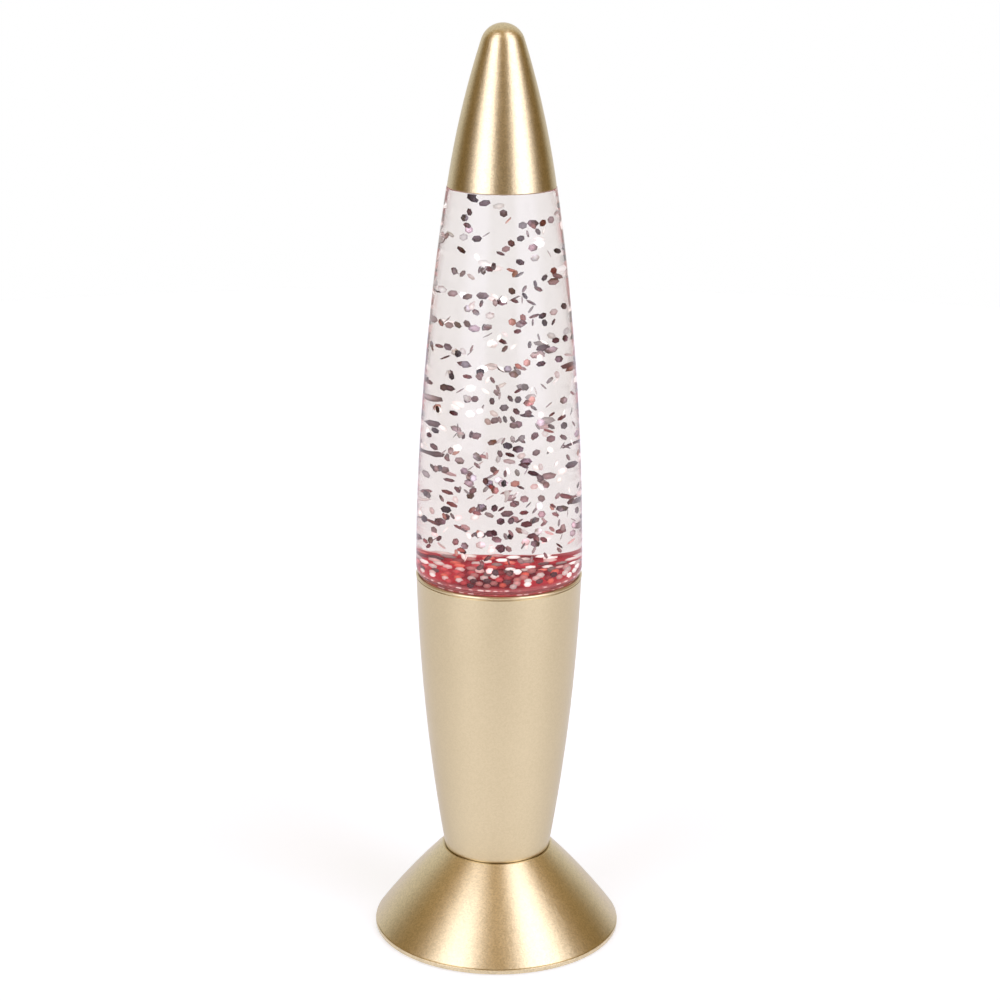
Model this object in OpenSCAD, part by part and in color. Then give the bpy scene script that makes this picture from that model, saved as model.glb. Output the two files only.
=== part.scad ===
// Glitter lamp: a tapered bottle of liquid and glitter that stands in a painted holder on a flared foot.
// The light comes from LEDs under the bottle, run by three cells behind a door in the foot.
// Millimetres, +Z up, origin on the table under the lamp's axis.

/* [Foot] */
// Diameter over the lip
foot_d = 107.3; // [102:0.1:120]
// Height from the table to the neck that takes the holder
foot_h = 37.8; // [36:0.1:48]
// Wall of the flare
foot_wall = 2; // [1.6:0.1:2.4]
// How far the flare swells out from a straight cone
foot_bow = 0.9; // [0.5:0.1:3]
// Height of the upright lip at the bottom edge
lip_h = 2; // [1.2:0.1:2.4]
// Thickness of the lip
lip_wall = 2.5; // [2:0.1:3]
// Height of the lip above the table
lip_lift = 0.5; // [0.4:0.1:1.2]
// Height of the groove above the lip
groove_h = 0.5; // [0.3:0.1:0.8]
// Depth of the groove above the lip
groove_t = 0.6; // [0.5:0.1:1]
// Thickness of the neck's edge round the holder
neck_edge = 0.8; // [0.6:0.1:1.5]
// Thickness of the deck that carries the holder
deck_t = 2; // [1.6:0.1:3]

/* [Holder] */
// Height from the foot's deck to the rim
holder_h = 128.1; // [115:0.1:150]
// Diameter at the rim
holder_top_d = 71; // [69:0.1:76]
// Diameter at the bottom
holder_bottom_d = 45; // [43:0.1:50]
// Wall of the holder
holder_wall = 1.8; // [1.5:0.1:2.2]
// How far the side swells out from a straight cone
holder_bow = 2.25; // [1:0.05:3.5]
// Height of the rolled bead at the rim
bead_h = 1.4; // [1:0.1:1.6]
// How far the bead stands out from the side
bead_out = 0.25; // [0.1:0.05:0.5]
// Height of the groove under the bead
bead_groove = 0.3; // [0.2:0.05:0.5]
// Thickness of the floor
holder_floor = 2.5; // [2:0.1:4]
// Depth of the holder in the foot's neck
holder_inset = 2.3; // [1.5:0.1:3]

/* [Bottle] */
// How far the bottle's widest part stands out past the holder's rim
bottle_proud = 0; // [-0.5:0.1:2]
// Height from the holder's rim to the cap's seat
bottle_h = 165.4; // [140:0.1:190]
// Diameter under the cap
bottle_top_d = 45.4; // [45:0.1:47]
// How far the side swells out from a straight cone
bottle_bow = 2.86; // [1.5:0.01:4]
// Wall of the bottle
bottle_wall = 2.2; // [1.8:0.1:2.6]
// Height of the rounded heel above the rim
heel_h = 4.2; // [4:0.1:7]
// How far the heel draws in to the rim
heel_draw = 1.1; // [0.6:0.1:1.6]
// Depth of the bottle's plug in the holder
spigot_h = 12.4; // [11:0.1:16]
// Height of the bottle's floor above the rim
floor_rise = 2.5; // [2.4:0.1:3.5]
// Diameter of the neck under the cap
neck_d = 22; // [18:0.1:24]
// Height of the neck's mouth above the cap's seat
neck_h = 23; // [21:0.1:26]
// Height of the collar that centres the cap
collar_h = 4; // [3:0.1:6]
// Height of the slope from the collar to the neck
shoulder_h = 6; // [4:0.1:8]
// Height of the liquid above the cap's seat
fill_h = 15; // [11:0.5:18]

/* [Glitter] */
// Diameter of a flake over its corners
flake_d = 3.2; // [2:0.1:3.6]
// Thickness of a flake
flake_t = 0.15; // [0.1:0.01:0.3]
// Number of flakes that float
floating_flakes = 552; // [90:3:600]
// Number of flakes that lie on the floor
settled_flakes = 120; // [30:3:120]
// How much the floating flakes thin out from the floor to the cap
flake_thinning = 1.2; // [0.1:0.1:1.8]
// How far the flow lifts and drops the floating flakes
flake_swirl = 2.5; // [0:0.1:3]
// Height of one wave of that flow
swirl_l = 40; // [30:1:80]
// Most that a floating flake leans from upright, in degrees
flake_lean = 50; // [20:1:80]
// Most that a floating flake swings round from the way it faces, in degrees
flake_swing = 35; // [10:1:60]
// Most that a settled flake leans, in degrees
settled_lean = 40; // [10:1:45]

/* [Cap] */
// Height from the seat to the tip
cap_h = 66; // [62:0.1:80]
// How far the cap's rim stands in from the bottle's edge
cap_inset = 0.2; // [0:0.05:0.5]
// Wall of the cap
cap_wall = 1.2; // [1:0.1:1.5]
// Radius of the rounded tip
cap_tip_r = 9.2; // [7:0.1:11]
// Lean of the side where it meets the tip, in degrees
cap_tip_lean = 17.7; // [15:0.1:20]

/* [Closure] */
// Wall of the screw closure on the neck
closure_wall = 1.8; // [1.4:0.1:2.4]
// Height of the closure's skirt
closure_h = 11; // [8:0.1:12]
// Thickness of the liner that seals the mouth
liner_t = 1.2; // [0.8:0.1:2]
// Number of grip ribs on the closure
closure_ribs = 24; // [12:1:36]

/* [Plug] */
// Diameter of the hollow under the plug that the LEDs shine into
plug_hollow_d = 48; // [46:0.5:52]
// Depth of that hollow
plug_hollow_h = 9; // [7:0.1:9.5]
// Thickness of the sealing ring
seal_d = 1.2; // [1:0.1:1.4]

/* [Light tray] */
// Height of the tray that carries the bottle and the light
tray_h = 12; // [11:0.1:15]
// Wall of the tray
tray_wall = 1.8; // [1.5:0.1:2.4]
// Floor of the tray
tray_floor = 2; // [1.6:0.1:2.6]
// Thickness of the soft ring under the bottle
seat_ring_t = 1.2; // [0.8:0.1:2]
// Diameter of the LED board
board_d = 40; // [38:0.5:44]
// Thickness of the circuit boards
board_t = 1.6; // [1:0.1:2]
// Height of the posts under the LED board
board_post_h = 2; // [1.5:0.1:3]
// Diameter of an LED's dome
led_d = 5; // [4:0.1:5.5]
// Height of an LED
led_h = 8.6; // [7:0.1:9]
// Height of the reflector
reflector_h = 11; // [9:0.1:13]
// Wall of the reflector
reflector_wall = 1; // [0.8:0.1:1.4]

/* [Power] */
// Diameter of a cell
cell_d = 10.5; // [9.5:0.1:10.8]
// Length of a cell with its nub
cell_l = 44.5; // [42:0.1:46]
// Space between neighbouring cells
cell_gap = 0.6; // [0.4:0.1:1]
// Length of a contact spring between its plate and its cell
spring_l = 4.2; // [4:0.1:5]
// Diameter of the spring wire
spring_wire = 0.45; // [0.35:0.05:0.45]
// Turns of a contact spring
spring_turns = 3; // [2:1:3]
// Thickness of the contact plates
contact_t = 0.4; // [0.3:0.05:0.6]
// Wall of the battery box
box_wall = 1.8; // [1.5:0.1:2.2]
// Thickness of the battery door
door_t = 1.6; // [1.2:0.1:1.8]
// Travel of the slide switch
switch_travel = 4; // [3:0.5:5]

/* [Underside] */
// Thickness of the base plate
plate_t = 2.2; // [2:0.1:2.6]
// Height of the rubber feet
pad_h = 1.6; // [1.2:0.1:2]
// Diameter of the rubber feet
pad_d = 8; // [6:0.5:9]
// Number of rubber feet
pad_count = 4; // [4:4:8]

/* [Fits] */
// Seam round a piece that stands in another
seam_gap = 0.3; // [0.2:0.05:0.4]
// Gap of a sliding piece
slide_gap = 0.3; // [0.2:0.05:0.4]
// Gap round the plug in the holder
spigot_gap = 0.5; // [0.3:0.05:0.8]
// Gap between the liquid and the bottle
fill_gap = 0.1; // [0.05:0.01:0.2]
// Rounding of the shells' edges
edge_r = 0.3; // [0.1:0.05:0.4]

/* [Hidden] */
$fn = 96;
arc_steps = 28;
heel_steps = 8;
small = 0.01;

gold = [0.76, 0.66, 0.46];
clear = [0.93, 0.93, 0.95, 0.3];
white = [0.92, 0.92, 0.9];
black = [0.12, 0.12, 0.12];
steel = [0.75, 0.75, 0.76];
board_green = [0.1, 0.4, 0.2];
lead_red = [0.75, 0.1, 0.08];

// Levels from the table up
plate_top = pad_h + plate_t;
deck_top = foot_h - holder_inset;
deck_bottom = deck_top - deck_t;
floor_top = deck_top + holder_floor;
rim_z = deck_top + holder_h;
seat_z = rim_z - spigot_h;
tray_top = seat_z - seat_ring_t;
tray_z = tray_top - tray_h;
tray_floor_top = tray_z + tray_floor;
board_z = tray_floor_top + board_post_h;
board_top = board_z + board_t;
bottle_floor = rim_z + floor_rise;
heel_z = rim_z + slide_gap;
cap_z = rim_z + bottle_h;
mouth_z = cap_z + neck_h;
fill_z = cap_z + fill_h;

// Radii and arcs of the turned shells, each arc as [lower end, upper end, bow]
lip_r = foot_d / 2;
bead_z = rim_z - bead_h - bead_groove;
holder_arc = [[holder_bottom_d / 2, deck_top], [holder_top_d / 2 - bead_out, bead_z], holder_bow];
neck_in = arc_r(holder_arc, 0, foot_h) + seam_gap;
lip_step = 0.2;
flare_z = lip_lift + lip_h + groove_h;
foot_arc = [[lip_r - lip_step, flare_z], [neck_in + neck_edge, foot_h], foot_bow];
plate_seat_r = lip_r - lip_wall;
plate_r = plate_seat_r - seam_gap;
spigot_r = arc_r(holder_arc, holder_wall, seat_z) - spigot_gap;
bottle_r = holder_top_d / 2 + bottle_proud;
bottle_in = bottle_r - bottle_wall;
heel_top = heel_z + heel_h;
heel_bow = heel_draw / 3;
heel_arc = [[bottle_r - heel_draw, heel_z], [bottle_r, heel_top], heel_bow];
bottle_arc = [[bottle_r, heel_top], [bottle_top_d / 2, cap_z], bottle_bow];
neck_r = neck_d / 2;
neck_bore_r = neck_r - bottle_wall;
shoulder_z = cap_z + collar_h + shoulder_h;

// The cap's side is an arc that runs into its round tip without a corner
cap_r = bottle_top_d / 2 - cap_inset;
tip_z = cap_z + cap_h - cap_tip_r;
cap_arc_top = [cap_tip_r * cos(cap_tip_lean), tip_z + cap_tip_r * sin(cap_tip_lean)];
cap_chord = cap_arc_top - [cap_r, cap_z];
cap_bow = norm(cap_chord) / 2 * tan((cap_tip_lean - atan(-cap_chord.x / cap_chord.y)) / 2);
cap_arc = [[cap_r, cap_z], cap_arc_top, cap_bow];
collar_gap = 0.4;
collar_r = arc_r(cap_arc, cap_wall, cap_z + collar_h) - collar_gap;

// Light tray and what it carries
tray_r = arc_r(holder_arc, holder_wall, tray_z) - spigot_gap;
lug_h = 7;
lug_w = 8;
lug_reach = 10;
lug_angles = [30, 150, 270];
tray_screw_pcr = tray_r - 5;
post_angles = [90, 210, 330];
post_r = 2.6;
board_screw_pcr = board_d / 2 - 3.5;
wire_y = 10;
wire_hole_r = 3.5;
wire_x = 1.6;
wire_r = 0.7;
led_pcr = led_d / 2 + 1.7;
led_flange = 0.4;
led_flange_h = 1;
reflector_foot_r = led_pcr + led_d / 2 + led_flange + 1.5;
reflector_top_r = plug_hollow_d / 2 - reflector_wall - 1.5;
plug_gap = 0.15;
plug_r = bottle_in - plug_gap;
seal_squeeze = 0.03;
seal_room = 0.2;
seal_groove_h = seal_d + seal_room;
seal_groove_r = bottle_in - seal_d;
seal_mid_z = (heel_z + bottle_floor) / 2;

// Screws, each as [head radius, head height, shank radius, shank length]
holder_screw = [2.8, 2.2, 1.45, 10];
tray_screw = [2.3, 1.6, 1.25, 6.5];
board_screw = [1.9, 1.3, 0.95, 4.4];
base_screw = [2.8, 1.2, 1.4, 8.5];
door_screw_size = [2.2, 0.8, 1.1, 6];
hole_gap = 0.25;
thread_bite = 0.2;
holder_screw_pcr = 15;
holder_boss_h = 9;
boss_wall = 1.8;
base_screw_pcr = plate_r - 9.5;
base_screw_angles = [45, 135, 225, 315];
base_post_r = base_screw[2] + boss_wall;

// Battery box, with the cells along X
cell_count = 3;
cell_pitch = cell_d + cell_gap;
cell_side = 0.5;
bay_w = cell_count * cell_d + (cell_count - 1) * cell_gap + 2 * cell_side;
bay_l = cell_l + spring_l + 2 * contact_t;
door_top = pad_h + door_t;
cell_z = door_top + 0.3 + cell_d / 2;
bay_top = cell_z + cell_d / 2 + cell_side;
box_top = bay_top + box_wall;
door_margin = 1.5;
door_lug = 8.5;
door_screw_x = bay_l / 2 + door_lug - 3.6;
door_corner = 2.5;
nub_d = 3.8;
nub_l = 1;
contact_w = 8;
contact_h = 8;
tab_w = 3;
tab_y = cell_pitch - 2;
tab_top = box_top + 4.6;

// Control board on the box's roof
control_l = 30;
control_w = 24;
control_post_h = 2.4;
control_z = box_top + control_post_h;
control_mid_z = control_z + board_t / 2;
chip_size = [10, 6, 1.8];

// Slide switch behind the battery box
switch_y = bay_w / 2 + box_wall + 12.5;
switch_body = [20, 8, 6.5];
slider = [6, 4, 2.4];
stem = [4, 3];
knob_drop = 1.1;
slot_l = stem.x + switch_travel + 2 * slide_gap;
slot_w = stem.y + 2 * slide_gap;
terminal = [1.4, 1.4, 2];
terminal_x = 6;
terminal_top = plate_top + switch_body.z + terminal.z;

// Routes of the leads, as points chosen by hand; the LED leads' heights are shares of their whole rise
led_lead_z = control_z + board_t;
led_lead_bends = [
    [0, 0, 0], [0, 0, 0.03], [0, 0.4, 0.11], [0, 0.3, 0.21], [0.3, -0.6, 0.38],
    [0, -1, 0.54], [-0.3, -0.4, 0.7], [0, 0.3, 0.87], [0, 0, 0.95], [0, 0, 1]
];
led_lead_route = [for (b = led_lead_bends) [b.x, b.y, led_lead_z + (board_z - led_lead_z) * b.z]];
battery_red_route = [
    [bay_l / 2 - contact_t, tab_y, control_mid_z], [19.4, 11, 19.2], [16, 15.4, 18.6],
    [12, 21, 17.8], [8.5, 26, 17], [terminal_x, switch_y, terminal_top]
];
switch_red_route = [
    [-terminal_x, switch_y, terminal_top], [-terminal_x, 27.4, 17.6], [-terminal_x, 22.6, 19.2],
    [-terminal_x, 17.8, 19.7], [-terminal_x, control_w / 2, control_mid_z]
];
battery_black_route = [
    [-bay_l / 2 + contact_t, -tab_y, control_mid_z], [-19.7, -9.4, 19.3],
    [-control_l / 2, -tab_y, control_mid_z]
];

// Radius and centre of an arc, its radius at a height, and points along it, each taken in by inset
function arc_turn(a) = let(l = norm(a[1] - a[0])) (l * l / 4 + a[2] * a[2]) / (2 * a[2]);
function arc_out(a) = let(t = (a[1] - a[0]) / norm(a[1] - a[0])) [t.y, -t.x];
function arc_mid(a) = (a[0] + a[1]) / 2 + arc_out(a) * (a[2] - arc_turn(a));
function arc_r(a, inset, z) =
    let(c = arc_mid(a), q = arc_turn(a) - inset) c.x + sqrt(q * q - (z - c.y) * (z - c.y));
function arc(a, inset = 0, steps = arc_steps) =
    let(
        c = arc_mid(a),
        q = arc_turn(a),
        o = arc_out(a),
        mid = atan2(o.y, o.x),
        half = asin(norm(a[1] - a[0]) / (2 * q))
    )
    [for (i = [0:steps]) let(g = mid - half + 2 * half * i / steps) c + (q - inset) * [cos(g), sin(g)]];
function reversed(list) = [for (i = [len(list) - 1:-1:0]) list[i]];
function between(points, low, high) = [for (p = points) if (p.y > low + small && p.y < high - small) p];
function arc_span(a, inset, low, high) = concat(
    [[arc_r(a, inset, low), low]], between(arc(a, inset), low, high), [[arc_r(a, inset, high), high]]
);
function round_top(mid, r, from, to, steps = 10) =
    [for (i = [0:steps]) let(g = from + (to - from) * i / steps) mid + r * [cos(g), sin(g)]];
// Rounded edges where an arc meets a level face at its foot or at its head
corner_steps = 4;
function arc_way(a, p) = let(d = p - arc_mid(a)) atan2(d.y, d.x);
function foot_corner(a, r, z) =
    let(c = [arc_r(a, r, z + r), z + r]) round_top(c, r, -90, arc_way(a, c), corner_steps);
function head_corner(a, r, z) =
    let(c = [arc_r(a, r, z - r), z - r]) round_top(c, r, arc_way(a, c), 90, corner_steps);

// A tube along points: each ring stands square to the route, turned to the up vector given with it
function unit(v) = v / norm(v);
function heading(path, i) = unit(path[min(i + 1, len(path) - 1)] - path[max(i - 1, 0)]);
function tube_points(path, ups, r, sides) = [
    for (i = [0:len(path) - 1])
        let(t = heading(path, i), u = unit(ups[i] - t * (ups[i] * t)), v = cross(t, u))
        for (k = [0:sides - 1]) path[i] + r * (u * cos(360 * k / sides) + v * sin(360 * k / sides))
];
function tube_faces(rings, sides) = concat(
    [for (k = [1:sides - 2]) [0, k, k + 1]],
    [
        for (i = [0:rings - 2], k = [0:sides - 1])
            let(n = (k + 1) % sides, a = i * sides + k, b = i * sides + n)
            each [[a, a + sides, b], [b, a + sides, b + sides]]
    ],
    [for (k = [1:sides - 2]) let(e = (rings - 1) * sides) [e, e + k + 1, e + k]]
);
module tube(path, ups, r, sides) {
    polyhedron(tube_points(path, ups, r, sides), tube_faces(len(path), sides));
}

// A smooth curve through hand-chosen points, with straight ends
function spline(p, i, t) =
    let(a = p[max(i - 1, 0)], b = p[i], c = p[i + 1], d = p[min(i + 2, len(p) - 1)])
    0.5 * (2 * b + (c - a) * t + (2 * a - 5 * b + 4 * c - d) * t * t + (3 * b - a - 3 * c + d) * t * t * t);
function smooth(p, steps = 3) = concat(
    [for (i = [0:len(p) - 2], k = [0:steps - 1]) spline(p, i, k / steps)], [p[len(p) - 1]]
);
// The first and last stretches keep square to what they meet
function straight_ends(p, start, end, l) =
    let(a = p[0], b = p[len(p) - 1])
    concat(
        [a, a + start * l / 2, a + start * l], [for (i = [1:len(p) - 2]) p[i]],
        [b - end * l, b - end * l / 2, b]
    );

module turned(points) {
    rotate_extrude() polygon(points);
}
module at(r, angles, z = 0) {
    for (g = angles) rotate(g) translate([r, 0, z]) children();
}
module block(size, at = [0, 0, 0]) {
    translate([at.x - size.x / 2, at.y - size.y / 2, at.z]) cube(size);
}
module rounded_block(size, r, z) {
    block([size.x - 2 * r, size.y, size.z], [0, 0, z]);
    block([size.x, size.y - 2 * r, size.z], [0, 0, z]);
    for (x = [-1, 1], y = [-1, 1])
        translate([x * (size.x / 2 - r), y * (size.y / 2 - r), z]) cylinder(r = r, h = size.z);
}
// A screw that points up, with its head's seat at the origin and a cross in its head
module screw(s) {
    difference() {
        union() {
            translate([0, 0, -s[1]]) cylinder(r = s[0], h = s[1]);
            cylinder(r = s[2], h = s[3]);
        }
        for (g = [0, 90])
            rotate(g) block([s[0] * 1.2, s[0] * 0.22, s[1] * 0.6], [0, 0, -s[1] - small]);
    }
}

// Cap

module cap() {
    color(gold) turned(concat(
        foot_corner(cap_arc, edge_r, cap_z),
        between(arc(cap_arc), cap_z + 2 * edge_r, cap_arc_top.y),
        round_top([0, tip_z], cap_tip_r, cap_tip_lean, 90),
        round_top([0, tip_z], cap_tip_r - cap_wall, 90, cap_tip_lean),
        reversed(arc_span(cap_arc, cap_wall, cap_z, cap_arc_top.y - cap_wall))
    ));
}

// Bottle and its contents

function bottle_inside(gap, from, top) = concat(
    [[bottle_in - gap, from]],
    between(arc(bottle_arc, bottle_wall + gap), heel_top, cap_z - bottle_wall),
    [[neck_bore_r - gap, shoulder_z - bottle_wall], [neck_bore_r - gap, top]]
);
module bottle() {
    color(clear) turned(concat(
        foot_corner(heel_arc, edge_r, heel_z),
        between(arc(heel_arc, 0, heel_steps), heel_z + edge_r, heel_top),
        [[bottle_r, heel_top]],
        between(arc(bottle_arc), heel_top, cap_z - 2 * edge_r),
        head_corner(bottle_arc, edge_r, cap_z),
        [[collar_r, cap_z], [collar_r, cap_z + collar_h], [neck_r, shoulder_z], [neck_r, mouth_z]],
        reversed(bottle_inside(0, heel_z, mouth_z))
    ));
}
module liquid() {
    color([0.95, 0.9, 0.92, 0.25])
        turned(concat([[0, bottle_floor]], bottle_inside(fill_gap, bottle_floor, fill_z), [[0, fill_z]]));
}

// Even spread of points in a box, by the powers of the root of x^4 = x + 1
spread = 1.22074408460576;
function part_of(x) = x - floor(x);
function spot(i, k) = part_of(0.5 + i / pow(spread, k));
flake_clear = 0.4;
flake_margin = flake_d / 2 + flake_clear;
flake_turns = [0.381, 0.618, 0.414];
function flake_turn(i, k) = part_of(i * flake_turns[k]);
function either_way(i, k) = 2 * flake_turn(i, k) - 1;
sixth_turn = 60;
settled_least = 8;
swirl_waves = 2;
// Share of the height at which a share s of the flakes floats lower, where they thin out steadily upwards
thin_low = 1 + flake_thinning / 2;
function thinned(s) = (thin_low - sqrt(thin_low * thin_low - 2 * flake_thinning * s)) / flake_thinning;
settled_top = bottle_floor + flake_d * sin(settled_lean) + 2 * flake_t;
glitter_low = settled_top + flake_margin + flake_swirl;
glitter_high = cap_z - bottle_wall - flake_d - flake_swirl;
module flake(lean, way, spin) {
    rotate([lean, 0, way]) rotate(spin) cylinder(d = flake_d, h = flake_t, center = true, $fn = 6);
}
// Floating flakes face two ways in turn, each within its swing and lean
module floating(i) {
    g = 360 * spot(i, 3);
    level = glitter_low + (glitter_high - glitter_low) * thinned(spot(i, 1));
    z = level + flake_swirl * sin(swirl_waves * g + 360 * (level - bottle_floor) / swirl_l);
    r = (arc_r(bottle_arc, bottle_wall + fill_gap, z) - flake_margin) * sqrt(spot(i, 2));
    translate([r * cos(g), r * sin(g), z])
        flake(
            90 + flake_lean * either_way(i, 0), 45 + 90 * (i % 2) + flake_swing * either_way(i, 1),
            sixth_turn * flake_turn(i, 2)
        );
}
golden_angle = 137.508;
module settled(i) {
    r = (bottle_in - flake_margin) * sqrt((i + 0.5) / settled_flakes);
    lean = settled_least + (settled_lean - settled_least) * flake_turn(i, 0);
    rotate(golden_angle * i)
        translate([r, 0, bottle_floor + flake_d / 2 * sin(lean) + flake_t])
            flake(lean, 360 * flake_turn(i, 1), sixth_turn * flake_turn(i, 2));
}
module glitter(shade, first) {
    color(shade) {
        for (i = [first:3:floating_flakes - 1]) floating(i);
        for (i = [first:3:settled_flakes - 1]) settled(i);
    }
}

module bottle_plug() {
    color([0.72, 0.1, 0.1, 0.8]) turned([
        [0, bottle_floor], [plug_r, bottle_floor],
        [plug_r, seal_mid_z + seal_groove_h / 2], [seal_groove_r, seal_mid_z + seal_groove_h / 2],
        [seal_groove_r, seal_mid_z - seal_groove_h / 2], [plug_r, seal_mid_z - seal_groove_h / 2],
        [plug_r, heel_z], [spigot_r, heel_z], [spigot_r, seat_z], [plug_hollow_d / 2, seat_z],
        [plug_hollow_d / 2, seat_z + plug_hollow_h], [0, seat_z + plug_hollow_h]
    ]);
}
module plug_seal() {
    color([0.7, 0.2, 0.2]) rotate_extrude()
        translate([bottle_in - seal_d / 2, seal_mid_z]) circle(r = seal_d / 2 - seal_squeeze);
}
closure_in = neck_r + slide_gap;
closure_r = closure_in + closure_wall;
liner_top = mouth_z + liner_t;
rib_r = 0.5;
module neck_closure() {
    color(white) {
        difference() {
            union() {
                translate([0, 0, liner_top - closure_h]) cylinder(r = closure_r, h = closure_h + closure_wall);
                at(closure_r, [for (i = [1:closure_ribs]) i * 360 / closure_ribs], liner_top - closure_h)
                    cylinder(r = rib_r, h = closure_h);
            }
            translate([0, 0, liner_top - closure_h - small]) cylinder(r = closure_in, h = closure_h + small);
        }
    }
}
module closure_liner() {
    color([0.8, 0.8, 0.78]) translate([0, 0, mouth_z]) cylinder(r = neck_r, h = liner_t);
}

// Holder and foot

bead_r = bead_h / 2;
bead_mid = [holder_top_d / 2 - bead_r, rim_z - bead_r];
bead_in = holder_top_d / 2 - bead_out - holder_wall;
holder_side = concat(
    arc(holder_arc),
    [[bead_mid.x, bead_z], [bead_mid.x, rim_z - bead_h]],
    round_top(bead_mid, bead_r, -75, 90),
    [[bead_in + bead_r, rim_z]],
    round_top([bead_in + bead_r, rim_z - bead_r], bead_r, 100, 180)
);
module holder_solid() {
    turned(concat([[0, deck_top]], arc(holder_arc), [[0, bead_z]]));
}
module holder() {
    color(gold) difference() {
        union() {
            turned(concat(
                [[0, deck_top]], holder_side,
                reversed(arc_span(holder_arc, holder_wall, floor_top, bead_z)),
                [[0, floor_top]]
            ));
            at(holder_screw_pcr, lug_angles, floor_top - small)
                cylinder(r = holder_screw[2] + boss_wall, h = holder_boss_h);
            intersection() {
                at(tray_r - lug_reach / 2 + 1, lug_angles, tray_z - lug_h)
                    block([lug_reach, lug_w, lug_h]);
                holder_solid();
            }
        }
        at(holder_screw_pcr, lug_angles, deck_top - small)
            cylinder(r = holder_screw[2] - thread_bite, h = holder_screw[3] - deck_t + 1);
        at(tray_screw_pcr, lug_angles, tray_z - lug_h + 1)
            cylinder(r = tray_screw[2] - thread_bite, h = lug_h);
        translate([0, wire_y, deck_top - small]) cylinder(r = wire_hole_r, h = holder_floor + 2 * small);
    }
}

foot_side = concat(
    round_top([lip_r - edge_r, lip_lift + edge_r], edge_r, -90, 0, corner_steps),
    round_top([lip_r - edge_r, lip_lift + lip_h - edge_r], edge_r, 0, 90, corner_steps),
    [[lip_r - groove_t, lip_lift + lip_h], [lip_r - groove_t, flare_z], foot_arc[0]],
    between(arc(foot_arc), flare_z, foot_h - 2 * edge_r),
    head_corner(foot_arc, edge_r, foot_h)
);
module foot_solid() {
    turned(concat([[0, lip_lift]], foot_side, [[0, foot_h]]));
}
module foot() {
    color(gold) difference() {
        union() {
            turned(concat(
                foot_side,
                [[neck_in, foot_h], [neck_in, deck_top], [0, deck_top], [0, deck_bottom]],
                reversed(arc_span(foot_arc, foot_wall, plate_top, deck_bottom)),
                [[plate_seat_r, plate_top], [plate_seat_r, lip_lift]]
            ));
            intersection() {
                at(base_screw_pcr, base_screw_angles, plate_top) cylinder(r = base_post_r, h = foot_h);
                foot_solid();
            }
        }
        at(base_screw_pcr, base_screw_angles, plate_top - small)
            cylinder(r = base_screw[2] - thread_bite, h = base_screw[3]);
        at(holder_screw_pcr, lug_angles, deck_bottom - small)
            cylinder(r = holder_screw[2] + hole_gap, h = deck_t + 2 * small);
        translate([0, wire_y, deck_bottom - small]) cylinder(r = wire_hole_r, h = deck_t + 2 * small);
    }
}
module holder_screws() {
    color(steel) at(holder_screw_pcr, lug_angles, deck_bottom) screw(holder_screw);
}

// Light tray, LEDs and what the bottle stands on

module light_tray() {
    color(white) difference() {
        union() {
            turned([
                [0, tray_z], [tray_r, tray_z], [tray_r, tray_top],
                [tray_r - tray_wall, tray_top], [tray_r - tray_wall, tray_floor_top], [0, tray_floor_top]
            ]);
            at(board_screw_pcr, post_angles, tray_floor_top - small)
                cylinder(r = post_r, h = board_post_h + small);
        }
        at(board_screw_pcr, post_angles, tray_z + 0.5)
            cylinder(r = board_screw[2] - thread_bite, h = tray_floor + board_post_h);
        at(tray_screw_pcr, lug_angles, tray_z - small)
            cylinder(r = tray_screw[2] + hole_gap, h = tray_floor + 2 * small);
        translate([0, wire_y, tray_z - small]) cylinder(r = wire_hole_r, h = tray_floor + 2 * small);
    }
}
module tray_screws() {
    color(steel) at(tray_screw_pcr, lug_angles, tray_floor_top) rotate([180, 0, 0]) screw(tray_screw);
}
module seat_ring() {
    color([0.2, 0.2, 0.2]) turned([
        [tray_r - tray_wall, tray_top], [tray_r, tray_top], [tray_r, seat_z], [tray_r - tray_wall, seat_z]
    ]);
}
module led_board() {
    color(white) difference() {
        translate([0, 0, board_z]) cylinder(d = board_d, h = board_t);
        at(board_screw_pcr, post_angles, board_z - small)
            cylinder(r = board_screw[2] + hole_gap, h = board_t + 2 * small);
    }
}
module board_screws() {
    color(steel) at(board_screw_pcr, post_angles, board_top) rotate([180, 0, 0]) screw(board_screw);
}
module led(shade, angle) {
    tip = led_h - led_d / 2;
    color(shade) rotate(angle) translate([led_pcr, 0, board_top]) turned(concat(
        [[0, 0], [led_d / 2 + led_flange, 0], [led_d / 2 + led_flange, led_flange_h]],
        [[led_d / 2, led_flange_h]],
        round_top([0, tip], led_d / 2, 0, 90)
    ));
}
module reflector() {
    color(steel) turned([
        [reflector_foot_r, board_top], [reflector_foot_r + reflector_wall, board_top],
        [reflector_top_r + reflector_wall, board_top + reflector_h], [reflector_top_r, board_top + reflector_h]
    ]);
}

// Base plate with the battery box, and its door

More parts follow.
